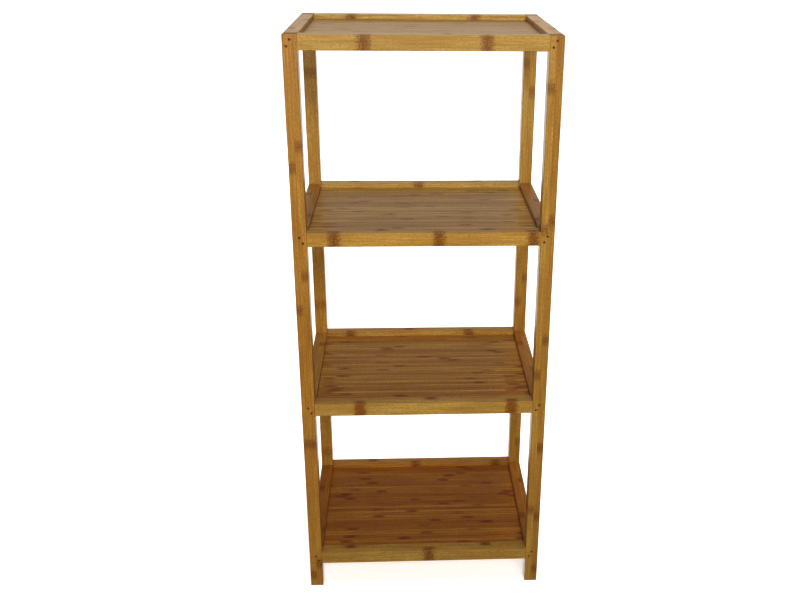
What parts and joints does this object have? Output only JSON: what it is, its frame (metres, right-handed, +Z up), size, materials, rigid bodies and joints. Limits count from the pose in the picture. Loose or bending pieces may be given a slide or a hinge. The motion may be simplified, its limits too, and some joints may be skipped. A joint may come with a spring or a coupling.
{
  "type": "tiered shoe rack",
  "caption": "Free-standing tiered rack of square bamboo bars with solid tray shelves, nailed and screwed together, for shoes or small household goods.",
  "frame": {"origin": "on the floor under the middle of the rack", "axes": "+Z up the posts, +Y to the back, +X to the right as seen from the front"},
  "size_m": [0.37, 0.284, 0.874],
  "materials": {
    "bamboo_bar": "clear satin lacquer on caramel bamboo",
    "bamboo_panel": "clear satin lacquer on edge-glued bamboo strips",
    "nail_steel": "plain bright steel, dulled, punched below the surface",
    "screw_steel": "zinc-plated, satin"
  },
  "bodies": {
    "root": {"post_front_left": "bamboo_bar", "nails_front_left": "nail_steel", "screws_front_left": "screw_steel", "post_back_left": "bamboo_bar", "nails_back_left": "nail_steel", "screws_back_left": "screw_steel", "post_front_right": "bamboo_bar", "nails_front_right": "nail_steel", "screws_front_right": "screw_steel", "post_back_right": "bamboo_bar", "nails_back_right": "nail_steel", "screws_back_right": "screw_steel", "top_front_rail": "bamboo_bar", "top_back_rail": "bamboo_bar", "top_left_rail": "bamboo_bar", "top_right_rail": "bamboo_bar", "top_panel": "bamboo_panel", "upper_front_rail": "bamboo_bar", "upper_back_rail": "bamboo_bar", "upper_left_rail": "bamboo_bar", "upper_right_rail": "bamboo_bar", "upper_panel": "bamboo_panel", "lower_front_rail": "bamboo_bar", "lower_back_rail": "bamboo_bar", "lower_left_rail": "bamboo_bar", "lower_right_rail": "bamboo_bar", "lower_panel": "bamboo_panel", "bottom_front_rail": "bamboo_bar", "bottom_back_rail": "bamboo_bar", "bottom_left_rail": "bamboo_bar", "bottom_right_rail": "bamboo_bar", "bottom_panel": "bamboo_panel"}
  },
  "joints": []
}
